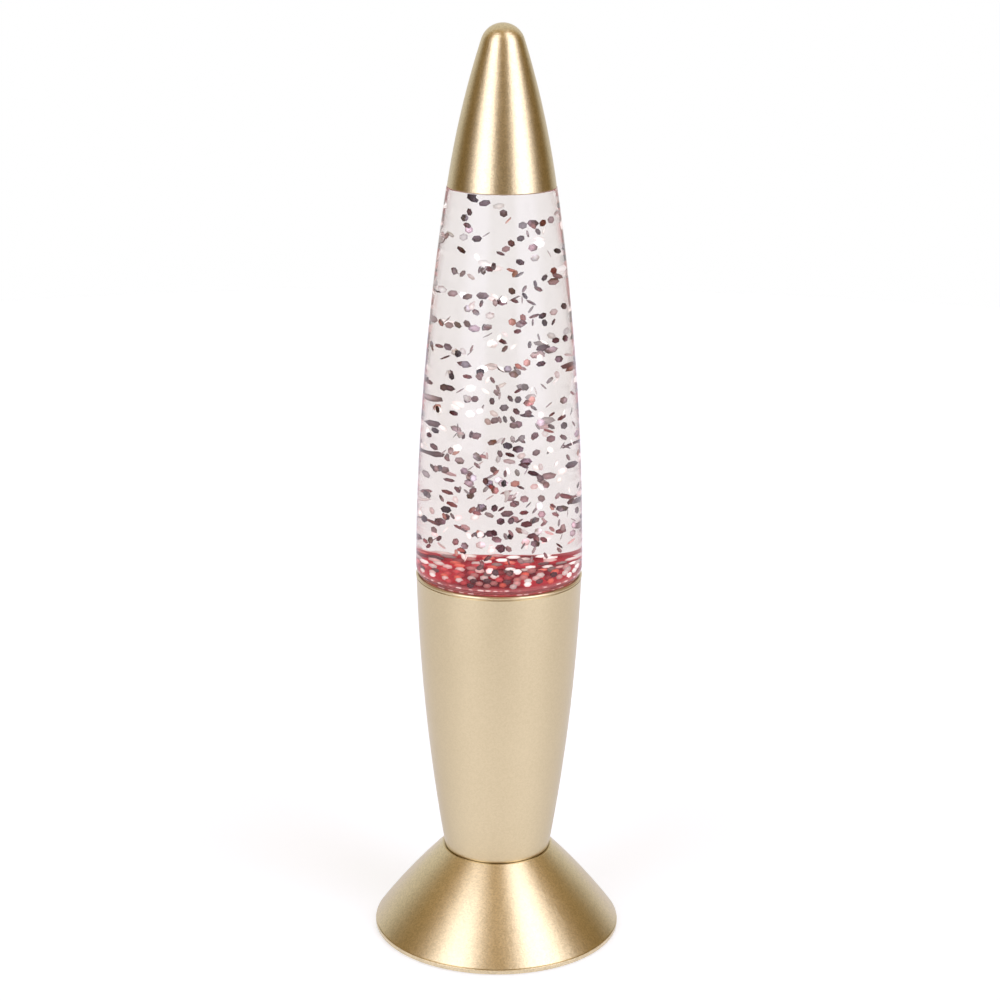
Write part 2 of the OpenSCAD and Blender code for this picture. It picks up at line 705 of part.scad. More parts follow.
module door_outline(grow, h, z) {
    translate([door_lug / 2 - door_margin / 2, 0, 0])
        rounded_block(
            [bay_l + door_margin + door_lug + 2 * grow, bay_w + 2 * door_margin + 2 * grow, h],
            door_corner, z
        );
}
module base_plate() {
    color(black) difference() {
        union() {
            translate([0, 0, pad_h]) cylinder(r = plate_r, h = plate_t);
            block([bay_l + 2 * box_wall, bay_w + 2 * box_wall, box_top - pad_h], [0, 0, pad_h]);
            translate([door_screw_x, 0, pad_h])
                cylinder(r = door_screw_size[2] + hole_gap + boss_wall, h = door_t + door_screw_size[3] + 2);
            for (x = [-1, 1], y = [-1, 1])
                translate([x * (control_l / 2 - 2.5), y * (control_w / 2 - 2.5), box_top - small])
                    cylinder(r = 1.8, h = control_post_h + small);
        }
        block([bay_l, bay_w, bay_top - pad_h], [0, 0, pad_h - small]);
        translate([0, 0, -small]) door_outline(slide_gap, door_t + small, pad_h);
        translate([door_screw_x, 0, door_top - small])
            cylinder(r = door_screw_size[2] + hole_gap, h = door_screw_size[3] + 0.6);
        for (s = [-1, 1])
            block(
                [contact_t + 0.4, tab_w + 0.6, box_wall + 2 * small],
                [s * (bay_l / 2 - contact_t / 2), s * tab_y, bay_top - small]
            );
        at(base_screw_pcr, base_screw_angles, pad_h - small) {
            cylinder(r = base_screw[2] + hole_gap, h = plate_t + 2 * small);
            cylinder(r = base_screw[0] + hole_gap, h = base_screw[1] + small);
        }
        block([slot_l, slot_w, plate_t + 2 * small], [0, switch_y, pad_h - small]);
    }
}
module base_screws() {
    color(steel) at(base_screw_pcr, base_screw_angles, pad_h + base_screw[1]) screw(base_screw);
}
module rubber_feet() {
    color([0.25, 0.25, 0.25]) at(plate_r - pad_d / 2 - 1, [for (i = [1:pad_count]) i * 360 / pad_count])
        cylinder(d = pad_d, h = pad_h);
}
module battery_door() {
    ribs = 3;
    color(black) difference() {
        door_outline(0, door_t, pad_h);
        translate([door_screw_x, 0, pad_h - small]) {
            cylinder(r = door_screw_size[2] + hole_gap, h = door_t + 2 * small);
            cylinder(r = door_screw_size[0] + hole_gap, h = door_screw_size[1] + small);
        }
        for (i = [1:ribs])
            block([1, bay_w * 0.4, 0.5], [-bay_l / 2 + 3 + 2.4 * i, 0, pad_h - small]);
    }
}
module door_screw() {
    color(steel) translate([door_screw_x, 0, pad_h + door_screw_size[1]]) screw(door_screw_size);
}

// Cells and contacts: each cell's positive end points the other way from its neighbour's

function cell_y(i) = (i - (cell_count + 1) / 2) * cell_pitch;
function cell_way(i) = i % 2 == 1 ? 1 : -1;
module cell(i) {
    color(i % 2 == 1 ? [0.2, 0.45, 0.3] : [0.2, 0.4, 0.32])
        translate([cell_way(i) * (bay_l / 2 - contact_t), cell_y(i), cell_z])
            rotate([0, -90 * cell_way(i), 0]) {
                cylinder(d = nub_d, h = nub_l + small);
                translate([0, 0, nub_l]) cylinder(d = cell_d, h = cell_l - nub_l);
            }
}

// A cone of wire that winds from its plate to the cell, with a short straight end at each
spring_rings = 8;
spring_low_r = 3.3;
spring_high_r = 1.9;
spring_stub = spring_wire;
function spring_point(t) =
    let(
        r = spring_low_r + (spring_high_r - spring_low_r) * t,
        g = 360 * spring_turns * t,
        x = 2 * spring_stub + (spring_l - 4 * spring_stub) * t
    )
    [x, r * cos(g), r * sin(g)];
function spring_up(t) = let(g = 360 * spring_turns * t) [0, cos(g), sin(g)];
spring_steps = spring_rings * spring_turns;
spring_coil = [for (i = [0:spring_steps]) spring_point(i / spring_steps)];
function foot_of(p, x) = [x, p.y, p.z];
spring_path = concat(
    [foot_of(spring_coil[0], 0), foot_of(spring_coil[0], spring_stub)], spring_coil,
    [foot_of(spring_coil[spring_steps], spring_l - spring_stub), foot_of(spring_coil[spring_steps], spring_l)]
);
spring_ups = concat(
    [spring_up(0), spring_up(0)], [for (i = [0:spring_steps]) spring_up(i / spring_steps)],
    [spring_up(1), spring_up(1)]
);
spring_least_gap = min([
    for (i = [0:spring_steps], k = [0:spring_steps])
        if (k - i >= spring_rings / 2) norm(spring_coil[i] - spring_coil[k]) - spring_wire
]);
echo(contact_spring_least_gap = spring_least_gap);
module contact_springs() {
    color(steel) for (i = [1:cell_count])
        translate([-cell_way(i) * (bay_l / 2 - contact_t), cell_y(i), cell_z])
            rotate(cell_way(i) == 1 ? 0 : 180) tube(spring_path, spring_ups, spring_wire / 2, 6);
}
module contact_plate(way, from, to) {
    x = way * (bay_l / 2 - contact_t / 2);
    block([contact_t, abs(to - from) + contact_w, contact_h], [x, (from + to) / 2, cell_z - contact_h / 2]);
}
module contact_plates() {
    color(steel) for (s = [-1, 1]) {
        contact_plate(s, -s * cell_pitch, 0);
        contact_plate(s, s * cell_pitch, s * cell_pitch);
        block(
            [contact_t, tab_w, tab_top - cell_z],
            [s * (bay_l / 2 - contact_t / 2), s * tab_y, cell_z]
        );
    }
}

// Control board and slide switch

module control_board() {
    color(board_green) block([control_l, control_w, board_t], [0, 0, control_z]);
}
module control_chip() {
    color(black) block(chip_size, [0, -4, control_z + board_t]);
}
module switch_housing() {
    color(steel) difference() {
        block(switch_body, [0, switch_y, plate_top]);
        block(
            [slider.x + switch_travel + 2 * slide_gap, slider.y + 2 * slide_gap, slider.z + 2 * slide_gap],
            [0, switch_y, plate_top - small]
        );
    }
}
module switch_terminals() {
    color([0.8, 0.65, 0.3]) for (x = [-terminal_x, 0, terminal_x])
        block(terminal, [x, switch_y, plate_top + switch_body.z]);
}
module switch_knob() {
    x = -switch_travel / 2;
    color(black) {
        block(slider, [x, switch_y, plate_top + slide_gap]);
        block(
            [stem.x, stem.y, plate_t + knob_drop + slide_gap + small],
            [x, switch_y, pad_h - knob_drop]
        );
    }
}

// Leads

module lead(shade, route, start, end, ups) {
    path = smooth(straight_ends(route, start, end, 3 * wire_r));
    color(shade) tube(path, [for (p = path) ups], wire_r, 8);
}
module led_lead(shade, side) {
    up = [0, 0, 1];
    color(shade) translate([side * wire_x, wire_y, 0]) {
        path = smooth(straight_ends(led_lead_route, up, up, 3 * wire_r), 2);
        tube(path, [for (p = path) [1, 0, 0]], wire_r, 8);
    }
}

cap();
bottle();
liquid();
glitter([0.45, 0.42, 0.45], 0);  // glitter_silver
glitter([0.75, 0.45, 0.48], 1);  // glitter_rose
glitter([0.75, 0.15, 0.15], 2);  // glitter_red
bottle_plug();
plug_seal();
neck_closure();
closure_liner();
holder();
foot();
light_tray();
seat_ring();
reflector();
led_board();
led([0.9, 0.15, 0.12], post_angles[0]);  // led_red
led([0.2, 0.8, 0.3], post_angles[1]);  // led_green
led([0.2, 0.35, 0.9], post_angles[2]);  // led_blue
board_screws();
tray_screws();
holder_screws();
base_plate();
base_screws();
rubber_feet();
for (i = [1:cell_count]) cell(i);
contact_springs();
contact_plates();
control_board();
control_chip();
switch_housing();
switch_terminals();
switch_knob();
led_lead(lead_red, -1);  // lead_led_red
led_lead(black, 1);  // lead_led_black
lead(lead_red, battery_red_route, [-1, 0, 0], [0, 0, -1], [0, 1, 1]);  // lead_battery_red
lead(lead_red, switch_red_route, [0, 0, 1], [0, -1, 0], [1, 0, 0]);  // lead_switch_red
lead(black, battery_black_route, [1, 0, 0], [1, 0, 0], [0, 0, 1]);  // lead_battery_black
battery_door();
door_screw();
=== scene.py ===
import math

import bpy
import numpy as np
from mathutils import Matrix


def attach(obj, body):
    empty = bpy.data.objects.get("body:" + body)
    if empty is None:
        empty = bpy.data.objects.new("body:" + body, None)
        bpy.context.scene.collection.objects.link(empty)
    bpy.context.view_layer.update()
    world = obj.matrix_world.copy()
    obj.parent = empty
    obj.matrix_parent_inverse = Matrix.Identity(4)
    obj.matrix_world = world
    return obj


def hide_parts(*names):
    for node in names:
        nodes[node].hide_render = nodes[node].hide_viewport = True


# glitter lamp: gold painted cap, holder and foot, clear bottle of glitter between them
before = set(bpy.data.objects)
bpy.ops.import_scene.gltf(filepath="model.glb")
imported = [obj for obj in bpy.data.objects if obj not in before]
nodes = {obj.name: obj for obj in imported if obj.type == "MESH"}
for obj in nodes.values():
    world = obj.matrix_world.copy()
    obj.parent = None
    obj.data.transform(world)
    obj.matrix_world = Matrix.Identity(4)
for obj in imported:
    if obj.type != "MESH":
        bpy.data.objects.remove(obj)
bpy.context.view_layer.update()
scene = bpy.context.scene
mm = 0.001
print("frame loaded,", len(nodes), "nodes")


# shader maths: a Wire is a node's output, and operators on it add Math nodes
class Wire:
    def __init__(self, tree, socket=None):
        self.tree = tree
        self.socket = socket

    # any node: type, settings first, then values or links of its inputs
    def node(self, kind, settings=None, inputs=None, out=0):
        made = self.tree.nodes.new("ShaderNode" + kind)
        for name, value in (settings or {}).items():
            setattr(made, name, value)
        for key, value in (inputs or {}).items():
            if isinstance(value, Wire):
                self.tree.links.new(value.socket, made.inputs[key])
            else:
                made.inputs[key].default_value = value
        return Wire(self.tree, made.outputs[out])

    def math(self, operation, *values):
        return self.node("Math", {"operation": operation}, dict(enumerate(values)))

    def __add__(self, other):
        return self.math("ADD", self, other)

    def __radd__(self, other):
        return self.math("ADD", other, self)

    def __sub__(self, other):
        return self.math("SUBTRACT", self, other)

    def __rsub__(self, other):
        return self.math("SUBTRACT", other, self)

    def __mul__(self, other):
        return self.math("MULTIPLY", self, other)

    def __rmul__(self, other):
        return self.math("MULTIPLY", other, self)

    def __truediv__(self, other):
        return self.math("DIVIDE", self, other)

    def __rtruediv__(self, other):
        return self.math("DIVIDE", other, self)

    # 0 below low, 1 above high, smooth between
    def rise(self, low, high):
        return self.node("MapRange", {"interpolation_type": "SMOOTHSTEP"},
                         {"Value": self, "From Min": low, "From Max": high})

    # from one colour to another by this value
    def blend(self, first, second):
        return self.node("Mix", {"data_type": "RGBA"},
                         {0: self, 6: first if isinstance(first, Wire) else (*first, 1),
                          7: second if isinstance(second, Wire) else (*second, 1)}, 2)

    def darker(self, share):
        return self.node("VectorMath", {"operation": "SCALE"}, {"Vector": self, "Scale": share})

    # a normal from this value as height, with the depth in millimetres
    def bump(self, strength, depth, under=None):
        inputs = {"Height": self, "Strength": strength, "Distance": depth * mm}
        if under is not None:
            inputs["Normal"] = under
        return self.node("Bump", {}, inputs)


# patterns on a piece's own place, with scale in turns per metre
def place(wire):
    return wire.node("TexCoord", {}, {}, "Object")


def axes(wire, letters):
    return [wire.node("SeparateXYZ", {}, {"Vector": place(wire)}, letter) for letter in letters]


def grain(wire, scale, detail=2.0, rough=0.5, stretch=None):
    spot = place(wire)
    if stretch:
        spot = wire.node("Mapping", {}, {"Vector": spot, "Scale": stretch})
    return wire.node("TexNoise", {}, {"Vector": spot, "Scale": scale, "Detail": detail, "Roughness": rough})


def cells(wire, scale, out="Color"):
    return wire.node("TexVoronoi", {}, {"Vector": place(wire), "Scale": scale}, out)


# a material: varied sockets come from paint(wire), the others are plain values
def makeMaterial(name, paint, plain):
    made = bpy.data.materials.new(name)
    made.use_nodes = True
    tree = made.node_tree
    shader = tree.nodes["Principled BSDF"]
    for key, value in plain.items():
        shader.inputs[key].default_value = value
    for key, value in paint(Wire(tree)).items():
        tree.links.new(value.socket, shader.inputs[key])
    return made


# a node of the solids that keeps its shape takes one material
def wear(name, material):
    nodes[name].data.materials.clear()
    nodes[name].data.materials.append(material)


# a new piece in place of some nodes; edges sharper than an angle stay sharp
def makePiece(name, points, faces, material, body, slot, replaced, sharp):
    mesh = bpy.data.meshes.new(name)
    mesh.from_pydata(points.tolist(), [], faces)
    mesh.update()
    mesh.shade_smooth()
    mesh.set_sharp_from_angle(angle=math.radians(sharp))
    mesh.materials.append(material)
    piece = bpy.data.objects.new(name, mesh)
    scene.collection.objects.link(piece)
    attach(piece, body)
    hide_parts(*replaced)
    return piece


# camera where the photograph was taken from
view = {"place": (0.0002, -1.0, 0.4915), "tilt": 73.5, "roll": 0.43, "lens": 88.56, "sensor": 36}
camera = bpy.data.objects.new("camera", bpy.data.cameras.new("camera"))
camera.data.lens = view["lens"]
camera.data.sensor_width = view["sensor"]
camera.location = view["place"]
camera.rotation_mode = "XYZ"
camera.rotation_euler = (math.radians(view["tilt"]), 0, 0)
camera.rotation_euler.rotate_axis("Z", math.radians(view["roll"]))
scene.collection.objects.link(camera)
scene.camera = camera
scene.view_settings.view_transform = "Standard"
bounces = {"max_bounces": 40, "transmission_bounces": 36, "glossy_bounces": 16}  # through the wall and many flakes
for kind, most in bounces.items():
    setattr(scene.cycles, kind, most)

# studio: two tall soft boxes in front, a dim brown room beside them that lightens upwards, a white wall behind
studio = {
    "boxes": ({"turn": (-63, -23), "soft": (26, 14), "top": 57}, {"turn": (28, 71.5), "soft": (14, 26), "top": 68}),
    "boxFoot": -12, "boxGlow": (2.75, 2.74, 3.3), "footSoft": 14, "topSoft": 30,
    "dim": ((0.195, 0.117, 0.010), (0.50, 0.335, 0.13)), "dimRise": (4, 56),
    "wall": (0.79, 0.775, 0.75), "wallFrom": 128, "wallSoft": 30, "wallSlant": 0.25, "wallTurn": 5,
    "seen": (1, 1, 1), "deepFrom": (3, 4), "deepTo": (8, 9),
}


def lightStudio(s):
    world = bpy.data.worlds.new("studio")
    world.use_nodes = True
    scene.world = world
    start = Wire(world.node_tree)
    way = start.node("TexCoord", {}, {}, "Generated")
    x, y, z = (start.node("SeparateXYZ", {}, {"Vector": way}, axis) for axis in "XYZ")
    turn = start.math("ARCTAN2", x, y * -1) * (180 / math.pi)  # 0 towards the camera, + to the right
    height = start.math("ARCSINE", z) * (180 / math.pi)

    # rises from 0 to 1 round an edge, over a soft width
    def past(value, edge, soft):
        return value.rise(edge - soft / 2, edge + soft / 2)

    boxes = 0
    for box in s["boxes"]:
        across = past(turn, box["turn"][0], box["soft"][0]) * (1 - past(turn, box["turn"][1], box["soft"][1]))
        upright = past(height, s["boxFoot"], s["footSoft"]) * (1 - past(height, box["top"], s["topSoft"]))
        boxes = boxes + across * upright
    room = height.rise(*s["dimRise"]).blend(*s["dim"])
    around = turn.math("ABSOLUTE", turn - s["wallTurn"])
    room = past(around + height * s["wallSlant"], s["wallFrom"], s["wallSoft"]).blend(room, s["wall"])
    room = boxes.blend(room, s["boxGlow"])
    # white where it is looked at straight, through the bottle, or along the inside of the bottle's wall
    path = {out: start.node("LightPath", {}, {}, out) for out in (
        "Is Camera Ray", "Is Transmission Ray", "Glossy Depth", "Diffuse Depth", "Transmission Depth")}
    passes = path["Transmission Depth"]
    deep = passes.rise(*s["deepFrom"]) * (1 - passes.rise(*s["deepTo"]))  # has been in the liquid
    bounced = (path["Glossy Depth"] + path["Diffuse Depth"]).rise(0, 1) * deep
    through = path["Is Transmission Ray"] * (1 - bounced)
    room = path["Is Camera Ray"].blend(through.blend(room, s["seen"]), s["seen"])
    background = world.node_tree.nodes["Background"]
    world.node_tree.links.new(room.socket, background.inputs["Color"])


lightStudio(studio)

# floor: a wide disc, white where no shadow falls; the gold reflects a painted pool of light on it
ground = {
    "radius": 1.4, "sides": 96, "colour": (0.58, 0.6, 0.63), "worn": (0.57, 0.59, 0.62), "wear": 30, "lift": 0.51,
    "paintedMirrorLight": (0.37, 0.372, 0.445), "level": 0.9, "front": 0.12, "near": 0.27, "nearTo": (0.12, 0.36),
    "nearFront": (-0.3, 0.7), "roughness": 0.6,
}
angle = np.linspace(0, 2 * np.pi, ground["sides"], endpoint=False)
floorMesh = bpy.data.meshes.new("floor")
floorMesh.from_pydata((ground["radius"] * np.stack([np.cos(angle), np.sin(angle), 0 * angle], 1)).tolist(),
                      [], [list(range(ground["sides"]))])
floor = bpy.data.objects.new("floor", floorMesh)
scene.collection.objects.link(floor)


def floorPaint(wire):
    looked, mirrored, through = (wire.node("LightPath", {}, {}, "Is " + kind + " Ray")
                                 for kind in ("Camera", "Glossy", "Transmission"))
    x, y = axes(wire, "XY")
    away = wire.math("SQRT", x * x + y * y)
    front = y * -1 / away  # 1 before the lamp, -1 behind it
    near = (1 - away.rise(*ground["nearTo"])) * front.rise(*ground["nearFront"])
    # the painted pool of light is brighter in front of the lamp and near it
    share = ground["level"] + ground["front"] * front + ground["near"] * near
    # a mix stops at 1, so the share is halved and the colour doubled
    lift = (mirrored * share / 2).blend((0, 0, 0), [2 * part for part in ground["paintedMirrorLight"]])
    return {"Base Color": grain(wire, ground["wear"]).rise(0.2, 0.8).blend(ground["worn"], ground["colour"]),
            "Emission Color": wire.math("MAXIMUM", looked, through).blend(lift, [ground["lift"]] * 3)}


paleFloor = makeMaterial("paleFloor", floorPaint, {"Roughness": ground["roughness"], "Emission Strength": 1.0})
floorMesh.materials.append(paleFloor)
print("camera, studio and floor done")

# gold lacquer: satin metal paint with a fine flake, sprayed coarser on the cap and the foot than on the holder;
# a roughness under 0.28 would leave specks in a denoised render
goldLook = {
    "roughness": 0.29, "roughFlake": 0.03, "smoothCloud": 0.01, "flake": 1700, "flakeBump": (1.0, 0.05),
    "cloud": 35, "cloudShare": 0.15, "peel": 420, "peelBump": (0.08, 0.1), "coat": 0.2, "coatRoughness": 0.3,
}
goldSprays = {
    "goldFine": {"deep": (0.65, 0.54, 0.322), "pale": (0.74, 0.622, 0.387), "share": 0.5, "nodes": ("holder",)},
    "goldCoarse": {"deep": (0.60, 0.50, 0.298), "pale": (0.79, 0.662, 0.41), "share": 0.85, "nodes": ("cap", "foot")},
}


def goldPaint(spray):
    def paint(wire):
        flake = wire.node("SeparateColor", {}, {"Color": cells(wire, goldLook["flake"])}, "Red")
        cloud = grain(wire, goldLook["cloud"], detail=3).rise(0.3, 0.7)
        tone = 0.5 + spray["share"] * (flake - 0.5) + goldLook["cloudShare"] * (cloud - 0.5)
        peel = grain(wire, goldLook["peel"], detail=1).bump(*goldLook["peelBump"])
        return {"Base Color": tone.blend(spray["deep"], spray["pale"]),
                "Roughness": goldLook["roughness"] + goldLook["roughFlake"] * flake - goldLook["smoothCloud"] * cloud,
                "Normal": grain(wire, goldLook["flake"], detail=1).bump(*goldLook["flakeBump"], peel)}
    return paint


for sprayName, spray in goldSprays.items():
    gold = makeMaterial(sprayName, goldPaint(spray), {"Metallic": 1.0, "Coat Weight": goldLook["coat"],
                                                      "Coat Roughness": goldLook["coatRoughness"]})
    for name in spray["nodes"]:
        wear(name, gold)
print("gold shells done")


# an arc between two points of a profile (radius, height) that bows out: its radius is the squares of half the
# chord and of the bow, added, over twice the bow, less inset
def arcLine(low, high, bow, count, inset=0.0):
    low, high = np.array(low, float), np.array(high, float)
    chord = high - low
    length = np.hypot(*chord)
    turn = (length ** 2 / 4 + bow ** 2) / (2 * bow)
    out = np.array([chord[1], -chord[0]]) / length
    mid = (low + high) / 2 + out * (bow - turn)
    half = math.asin(length / (2 * turn))
    g = np.linspace(-half, half, count) + math.atan2(out[1], out[0])
    return mid + (turn - inset) * np.stack([np.cos(g), np.sin(g)], 1)


# quarter of a circle round mid from one angle to another, in degrees
def cornerLine(mid, radius, start, end, count=6):
    g = np.radians(np.linspace(start, end, count))
    return np.array(mid) + radius * np.stack([np.cos(g), np.sin(g)], 1)


# a profile (r, z) carried round the axis: x = r cos a, y = r sin a; a closed profile makes a ring
def spin(profile, sides, closed):
    a = np.linspace(0, 2 * np.pi, sides, endpoint=False)
    column = np.arange(sides)
    after = (column + 1) % sides
    rows = profile if closed else profile[1:-1]
    points = np.stack([rows[:, :1] * np.cos(a), rows[:, :1] * np.sin(a),
                       np.repeat(rows[:, 1:], sides, 1)], 2).reshape(-1, 3)
    lower = np.arange(len(rows) if closed else len(rows) - 1)[:, None]
    upper = (lower + 1) % len(rows)
    faces = np.stack([lower * sides + column, lower * sides + after,
                      upper * sides + after, upper * sides + column], 2).reshape(-1, 4).tolist()
    if not closed:  # the two ends lie on the axis, so each becomes one point with a fan
        top = (len(rows) - 1) * sides
        poles = np.array([[0, 0, profile[0, 1]], [0, 0, profile[-1, 1]]])
        points = np.vstack([points, poles])
        faces += np.stack([0 * column + len(points) - 2, after, column], 1).tolist()
        faces += np.stack([0 * column + len(points) - 1, top + column, top + after], 1).tolist()
    return points * mm, faces


# bottle: clear moulded shell, sizes in millimetres as in the solid it stands for
bottle = {
    "heel": 163.9, "heelTop": 168.1, "heelDraw": 1.1, "radius": 35.5, "wall": 2.2, "top": 329.0, "topRadius": 22.7,
    "bow": 2.86, "collar": 20.28, "collarTop": 333.0, "shoulder": 339.0, "neck": 11.0, "mouth": 352.0,
    "floor": 166.1, "fill": 344.0, "sides": 160, "edge": 0.3, "sharp": 30,
    "heelRound": {"inset": 0.4, "angles": (-90, -28), "clear": 1.2},  # shares of the edge
    "topRound": {"inset": 0.92, "angles": (14, 90), "clear": 2},
}


# the side's arc from the heel to the seat of the cap, taken in by inset
def bottleSide(b, inset=0.0, count=120):
    return arcLine((b["radius"], b["heelTop"]), (b["topRadius"], b["top"]), b["bow"], count, inset)


# the inner line from low up to top: foot, side arc less the wall, then the neck, all moved out by grow
def bottleInside(b, grow, low, top):
    side = bottleSide(b, b["wall"] - grow)
    side = side[(side[:, 1] > b["heelTop"]) & (side[:, 1] < b["top"] - b["wall"])]
    neck = b["neck"] - b["wall"] + grow
    foot = (b["radius"] - b["wall"] + grow, low)
    return np.vstack([foot, side, (neck, b["shoulder"] - b["wall"]), (neck, top)])


# outer line from the heel up to the mouth, then the inner line back down
def bottleProfile(b):
    edge, low, high = b["edge"], b["heelRound"], b["topRound"]
    heel = arcLine((b["radius"] - b["heelDraw"], b["heel"]), (b["radius"], b["heelTop"]), b["heelDraw"] / 3, 14)
    side = bottleSide(b)[1:]
    outside = np.vstack([
        cornerLine((heel[0, 0] - edge * low["inset"], b["heel"] + edge), edge, *low["angles"]),
        heel[heel[:, 1] > b["heel"] + edge * low["clear"]], side[side[:, 1] < b["top"] - high["clear"] * edge],
        cornerLine((b["topRadius"] - edge * high["inset"], b["top"] - edge), edge, *high["angles"]),
        [(b["collar"], b["top"]), (b["collar"], b["collarTop"]), (b["neck"], b["shoulder"]), (b["neck"], b["mouth"])],
    ])
    inside = bottleInside(b, 0, b["heel"], b["mouth"])[::-1]
    return np.vstack([outside, inside]), len(outside)


# the shell's look: a faint moulded wave, fine specks, and painted shade and red light at its grazing edges
glass = {
    "ior": 1.37, "specular": 0.1, "tint": (0.81, 0.797, 0.768),
    "grazing": (0.5, 1.1), "paintedEdgeTint": (0.60, 0.45, 0.425),
    "wave": 26, "waveStretch": (1, 1, 0.35), "waveBump": (0.12, 0.5),
    "speck": 900, "speckSize": 0.12, "speckTint": (0.76, 0.735, 0.71), "speckRoughness": 0.02,
    "film": 40, "filmStretch": (1, 1, 0.3), "filmTints": ((0.985, 0.978, 0.978), (1, 1, 1)),
}
unbent = {"IOR": 1.0, "Roughness": 0.0, "Transmission Weight": 1.0}  # light goes straight on


def clearPaint(wire):
    wave = grain(wire, glass["wave"], detail=1, rough=0.4, stretch=glass["waveStretch"])
    speck = cells(wire, glass["speck"], "Distance").rise(0.0, glass["speckSize"])
    # darker and pinker where the wall is seen at a grazing angle: painted shade and painted red light
    grazing = wire.node("LayerWeight", {}, {"Blend": 0.5}, "Facing").rise(*glass["grazing"])
    return {"Base Color": grazing.blend(speck.blend(glass["speckTint"], glass["tint"]), glass["paintedEdgeTint"]),
            "Roughness": (1 - speck) * glass["speckRoughness"],
            "Normal": wave.bump(*glass["waveBump"])}


# the wall's inner face is wet, so light goes on into the liquid there without bending
def wetPaint(wire):
    film = grain(wire, glass["film"], stretch=glass["filmStretch"]).rise(0.3, 0.7)
    return {"Base Color": film.blend(*glass["filmTints"])}


clearShell = makeMaterial("clearShell", clearPaint, {"IOR": glass["ior"], "Transmission Weight": 1.0,
                                                     "Specular IOR Level": glass["specular"]})
wetWall = makeMaterial("wetWall", wetPaint, unbent)
profile, firstInside = bottleProfile(bottle)
shell = makePiece("bottle_shell", *spin(profile, bottle["sides"], True), clearShell,
                  "filled_bottle", "clear_bottle", ["bottle"], bottle["sharp"])
shell.data.materials.append(wetWall)
row = np.arange(len(profile))
wet = (row >= firstInside) & (row < len(profile) - 1)
shell.data.polygons.foreach_set("material_index", np.repeat(wet.astype(int), bottle["sides"]))
print("bottle done")

# liquid: fills the shell up to the neck, a hair inside its wall, with painted pink light low down and to the left
liquid = {
    "gap": 0.05, "clear": (0.995, 0.99, 0.99), "pink": (0.99, 0.94, 0.935), "paintedPinkBelow": (170, 310), "paintedPinkLeft": 30,
    "swirl": 18, "swirlStretch": (1, 1, 0.5), "shares": {"swirl": 0.35, "low": 0.45, "left": 0.2},
}


def liquidPaint(wire):
    swirl = grain(wire, liquid["swirl"], stretch=liquid["swirlStretch"]).rise(0.2, 0.8)
    x, z = axes(wire, "XZ")
    # pinker low down and to the left: painted red light from the lit floor
    low = 1 - z.rise(*(limit * mm for limit in liquid["paintedPinkBelow"]))
    left = 1 - x.rise(-liquid["paintedPinkLeft"] * mm, 0)
    share = liquid["shares"]
    pink = share["swirl"] * swirl + share["low"] * low + share["left"] * left
    return {"Base Color": pink.blend(liquid["clear"], liquid["pink"])}


clearLiquid = makeMaterial("clearLiquid", liquidPaint, unbent)
fillLow = bottle["floor"] + liquid["gap"] / 2
fillSide = bottleInside(bottle, -liquid["gap"], fillLow, bottle["fill"])
fillProfile = np.vstack([(0, fillLow), fillSide, (0, bottle["fill"])])
makePiece("glitter_liquid", *spin(fillProfile, bottle["sides"], False), clearLiquid,
          "filled_bottle", "clear_liquid", ["liquid"], bottle["sharp"])
print("liquid done")

# glitter: hexagons cut from metallised film, a little domed, spread evenly and then lifted and dropped by the flow
glitter = {
    "across": 3.2, "thick": 0.15, "dome": 0.25, "floating": 552, "settled": 120, "thinning": 1.2, "clear": 0.4,
    "swirl": 2.5, "swirlWaves": 2, "swirlLength": 40, "lean": 50, "swing": 35, "settledLean": (8, 40),
    "turns": (0.381, 0.618, 0.414), "spread": 1.22074408460576, "goldenAngle": 137.508, "fillGap": 0.1,
    "corner": 60, "faceWays": (45, 135), "sharp": 50,
}


# what is left of a number after its whole part
def partOf(x):
    return x - np.floor(x)


# matrices that spin a flake about its own axis, lean it about X and face it some way about Z, in degrees
def flakeTurn(lean, way, spinBy):
    (cl, cw, cs), (sl, sw, ss) = np.cos(np.radians((lean, way, spinBy))), np.sin(np.radians((lean, way, spinBy)))
    return np.stack([cw * cs - sw * cl * ss, -cw * ss - sw * cl * cs, sw * sl,
                     sw * cs + cw * cl * ss, -sw * ss + cw * cl * cs, -cw * sl,
                     sl * ss, sl * cs, cl], 1).reshape(-1, 3, 3)


# floating flakes: even places by the powers of the root of x^4 = x + 1, so that none cross; the first gives the
# level, the root of the second the share of the radius there, the third the way round, and a sine lifts them
def floatingFlakes(g, b, i):
    spot = [partOf(0.5 + i / g["spread"] ** k) for k in (1, 2, 3)]
    turn = [partOf(i * t) for t in g["turns"]]
    margin = g["across"] / 2 + g["clear"]
    heap = b["floor"] + g["across"] * math.sin(math.radians(g["settledLean"][1])) + 2 * g["thick"]
    low, high = heap + margin + g["swirl"], b["top"] - b["wall"] - g["across"] - g["swirl"]
    thin = g["thinning"]  # they thin out steadily upwards
    level = low + (high - low) * (1 + thin / 2 - np.sqrt((1 + thin / 2) ** 2 - 2 * thin * spot[0])) / thin
    wave = g["swirlWaves"] * spot[2] + (level - b["floor"]) / g["swirlLength"]
    z = level + g["swirl"] * np.sin(2 * np.pi * wave)
    side = bottleSide(b, b["wall"] + g["fillGap"])
    r = (np.interp(z, side[:, 1], side[:, 0]) - margin) * np.sqrt(spot[1])
    a = 2 * np.pi * spot[2]
    lean = 90 + g["lean"] * (2 * turn[0] - 1)
    way = np.array(g["faceWays"])[i % 2] + g["swing"] * (2 * turn[1] - 1)
    return np.stack([r * np.cos(a), r * np.sin(a), z], 1), flakeTurn(lean, way, g["corner"] * turn[2])


